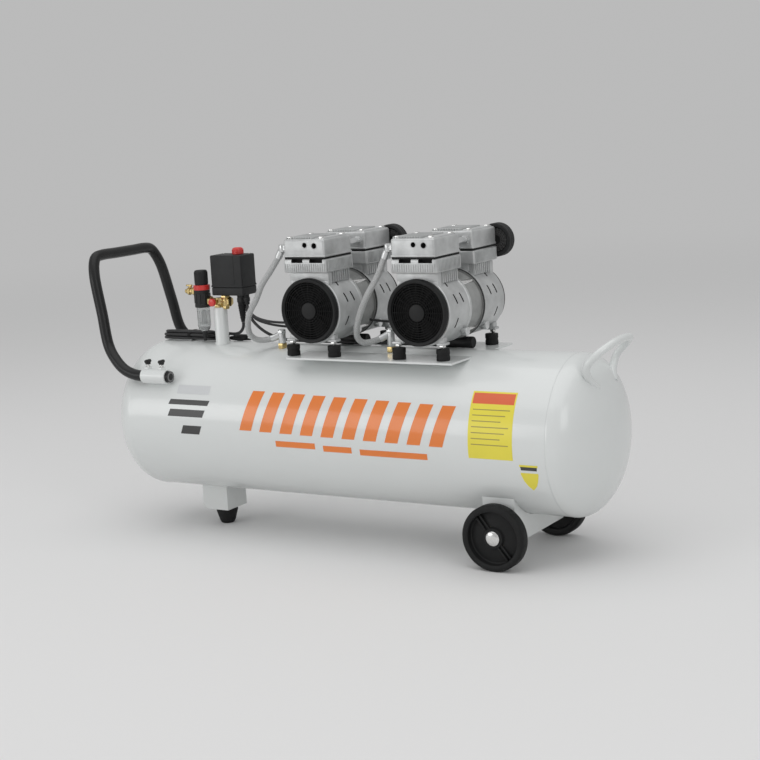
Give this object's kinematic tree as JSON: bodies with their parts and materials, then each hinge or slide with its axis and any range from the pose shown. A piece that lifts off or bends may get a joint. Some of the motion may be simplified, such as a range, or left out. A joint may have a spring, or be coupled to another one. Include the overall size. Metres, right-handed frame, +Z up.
{
  "type": "air compressor",
  "caption": "Horizontal cylindrical air tank on wheels, with motor-driven piston pumps on a deck, pressure switch, regulator, hoses and a sliding push handle.",
  "frame": {"origin": "on the ground, under the middle of the box round the whole machine", "axes": "+X along the tank towards the wheels, +Y away from the front of the machine, +Z up"},
  "size_m": [1.2639, 0.335, 0.673],
  "materials": {
    "tank_paint": "gloss",
    "cast_alloy": "satin cast",
    "motor_steel": "satin",
    "bright_steel": "bright",
    "moving_alloy": "machined",
    "brass": "machined",
    "red_plastic": "gloss",
    "black_plastic": "fine moulded grain",
    "black_tube": "matte powder coat",
    "rubber": "matte",
    "lead_rubber": "satin",
    "clear_bowl": "clear",
    "braid": "braided"
  },
  "bodies": {
    "compressor": {"tank_barrel": "tank_paint", "tank_end_right": "tank_paint", "deck_front": "tank_paint", "deck_rear": "tank_paint", "lifting_handle": "tank_paint", "foot_bracket": "tank_paint", "rubber_foot": "rubber", "axle_bracket": "tank_paint", "axle": "bright_steel", "handle_sleeve_front": "tank_paint", "handle_sleeve_rear": "tank_paint", "air_manifold": "brass", "switch_base": "black_plastic", "switch_cover": "black_plastic", "safety_valve": "red_plastic", "regulator_body": "black_plastic", "regulator_bowl": "clear_bowl", "motor_leads": "lead_rubber", "mains_cord": "lead_rubber", "mains_hank": "lead_rubber", "mains_plug": "black_plastic", "left_feet_front": "rubber", "left_feet_rear": "rubber", "left_stator": "motor_steel", "left_capacitor": "black_plastic", "left_intake_filter": "black_plastic", "left_hose": "braid", "left_crankcase_front": "cast_alloy", "left_head_front": "cast_alloy", "left_fan_guard_front": "black_plastic", "left_crankcase_rear": "cast_alloy", "left_head_rear": "cast_alloy", "left_fan_guard_rear": "black_plastic", "right_feet_front": "rubber", "right_feet_rear": "rubber", "right_stator": "motor_steel", "right_capacitor": "black_plastic", "right_intake_filter": "black_plastic", "right_hose": "braid", "right_crankcase_front": "cast_alloy", "right_head_front": "cast_alloy", "right_fan_guard_front": "black_plastic", "right_crankcase_rear": "cast_alloy", "right_head_rear": "cast_alloy", "right_fan_guard_rear": "black_plastic"},
    "wheel_front": {"wheel_front": "rubber"},
    "wheel_rear": {"wheel_rear": "rubber"},
    "push_handle": {"push_handle": "black_tube"},
    "thumb_screw_front": {"thumb_screw_front": "black_plastic"},
    "thumb_screw_rear": {"thumb_screw_rear": "black_plastic"},
    "switch_knob": {"switch_knob": "red_plastic"},
    "regulator_knob": {"regulator_knob": "black_plastic"},
    "outlet_cock": {"outlet_cock": "brass"},
    "drain_cock": {"drain_cock": "brass"},
    "left_rotor": {"left_rotor": "bright_steel"},
    "left_piston_front": {"left_piston_front": "moving_alloy"},
    "left_piston_rear": {"left_piston_rear": "moving_alloy"},
    "right_rotor": {"right_rotor": "bright_steel"},
    "right_piston_front": {"right_piston_front": "moving_alloy"},
    "right_piston_rear": {"right_piston_rear": "moving_alloy"}
  },
  "joints": [
    {"name": "wheel_front_turn", "type": "hinge", "parent": "compressor", "child": "wheel_front", "pos_m": [0.39815, -0.145, 0.0685], "axis": [0, 1, 0], "continuous": true},
    {"name": "wheel_rear_turn", "type": "hinge", "parent": "compressor", "child": "wheel_rear", "pos_m": [0.39815, 0.145, 0.0685], "axis": [0, 1, 0], "continuous": true},
    {"name": "push_handle_slide", "type": "slide", "parent": "compressor", "child": "push_handle", "axis": [-1, 0, 0], "range_m": [0, 0.04]},
    {"name": "thumb_screw_front_turn", "type": "hinge", "parent": "compressor", "child": "thumb_screw_front", "pos_m": [-0.44985, -0.15, 0.39], "axis": [0, 0, 1], "range_deg": [-180, 180]},
    {"name": "thumb_screw_rear_turn", "type": "hinge", "parent": "compressor", "child": "thumb_screw_rear", "pos_m": [-0.44985, 0.15, 0.39], "axis": [0, 0, 1], "range_deg": [-180, 180]},
    {"name": "switch_knob_slide", "type": "slide", "parent": "compressor", "child": "switch_knob", "axis": [0, 0, 1], "range_m": [0, 0.006]},
    {"name": "regulator_knob_turn", "type": "hinge", "parent": "compressor", "child": "regulator_knob", "pos_m": [-0.38385, -0.02, 0.57], "axis": [0, 0, 1], "range_deg": [-360, 360]},
    {"name": "outlet_cock_turn", "type": "hinge", "parent": "compressor", "child": "outlet_cock", "pos_m": [-0.41585, -0.02, 0.552], "axis": [0, 0, 1], "range_deg": [0, 90]},
    {"name": "drain_cock_turn", "type": "hinge", "parent": "compressor", "child": "drain_cock", "pos_m": [0.32315, 0, 0.07], "axis": [0, 0, 1], "range_deg": [0, 90]},
    {"name": "left_rotor_turn", "type": "hinge", "parent": "compressor", "child": "left_rotor", "pos_m": [-0.02685, 0, 0.5163], "axis": [0, 1, 0], "continuous": true},
    {"name": "left_piston_front_slide", "type": "slide", "parent": "compressor", "child": "left_piston_front", "axis": [0, 0, 1], "range_m": [-0.006, 0.006]},
    {"name": "left_piston_rear_slide", "type": "slide", "parent": "compressor", "child": "left_piston_rear", "axis": [0, 0, 1], "range_m": [-0.006, 0.006]},
    {"name": "right_rotor_turn", "type": "hinge", "parent": "compressor", "child": "right_rotor", "pos_m": [0.23415, 0, 0.5163], "axis": [0, 1, 0], "continuous": true},
    {"name": "right_piston_front_slide", "type": "slide", "parent": "compressor", "child": "right_piston_front", "axis": [0, 0, 1], "range_m": [-0.006, 0.006]},
    {"name": "right_piston_rear_slide", "type": "slide", "parent": "compressor", "child": "right_piston_rear", "axis": [0, 0, 1], "range_m": [-0.006, 0.006]}
  ]
}
